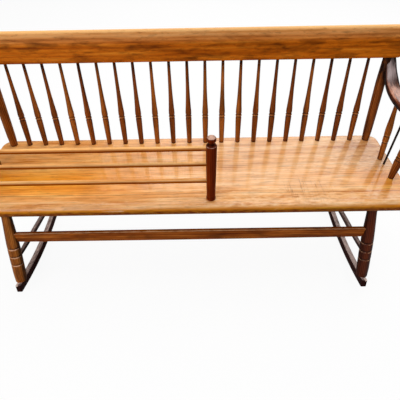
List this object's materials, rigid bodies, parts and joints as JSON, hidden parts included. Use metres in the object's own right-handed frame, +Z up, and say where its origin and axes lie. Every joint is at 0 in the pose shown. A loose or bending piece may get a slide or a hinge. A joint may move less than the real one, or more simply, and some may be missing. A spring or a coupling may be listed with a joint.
{
  "type": "rocking bench",
  "caption": "Long spindle-back rocking bench with rolled arms, splayed turned legs on bent rockers, and a lift-out guard rail along part of the seat front.",
  "frame": {"origin": "centre of the overall box in X and Y, on the floor plane that the rockers rest on", "axes": "+X along the bench to the sitter's left, which is the right of the picture, +Y towards the back, +Z up"},
  "size_m": [1.553, 0.628, 0.8425],
  "materials": {
    "seat": "light honey wood, glossy clear finish",
    "crest": "amber brown wood, satin, lighter worn top edge",
    "spindle": "red-brown stained wood, satin",
    "arm": "dark red-brown stained wood, glossy",
    "leg": "dark red-brown stained wood, satin, worn rings",
    "rocker": "near-black stained wood, satin, worn tips",
    "stretcher": "red-brown stained wood, satin",
    "guard_post": "dark stained wood, glossy",
    "guard_rail": "light honey wood, satin",
    "iron": "black iron, dull"
  },
  "bodies": {
    "bench": {"arm_brace_rod_right": "iron", "arm_left": "arm", "arm_post_left": "spindle", "arm_post_right": "spindle", "arm_right": "arm", "arm_spindle_left": "spindle", "arm_spindle_right": "spindle", "back_spindle_01": "spindle", "back_spindle_02": "spindle", "back_spindle_03": "spindle", "back_spindle_04": "spindle", "back_spindle_05": "spindle", "back_spindle_06": "spindle", "back_spindle_07": "spindle", "back_spindle_08": "spindle", "back_spindle_09": "spindle", "back_spindle_10": "spindle", "back_spindle_11": "spindle", "back_spindle_12": "spindle", "back_spindle_13": "spindle", "back_spindle_14": "spindle", "back_spindle_15": "spindle", "back_spindle_16": "spindle", "back_spindle_17": "spindle", "back_spindle_18": "spindle", "back_spindle_19": "spindle", "back_spindle_20": "spindle", "back_spindle_21": "spindle", "back_stile_left": "spindle", "back_stile_right": "spindle", "crest_rail": "crest", "front_stretcher": "stretcher", "leg_front_left": "leg", "leg_front_right": "leg", "leg_rear_left": "leg", "leg_rear_right": "leg", "rear_stretcher": "stretcher", "rocker_left": "rocker", "rocker_right": "rocker", "seat_plank": "seat", "side_stretcher_left": "stretcher", "side_stretcher_right": "stretcher"},
    "guard": {"guard_post_left": "guard_post", "guard_post_right": "guard_post", "guard_rail_bottom": "guard_rail", "guard_rail_middle": "guard_rail", "guard_rail_top": "guard_rail"}
  },
  "joints": [
    {"name": "guard_lift", "type": "slide", "parent": "bench", "child": "guard", "axis": [0, 0, 1], "range_m": [0, 0.2]}
  ]
}
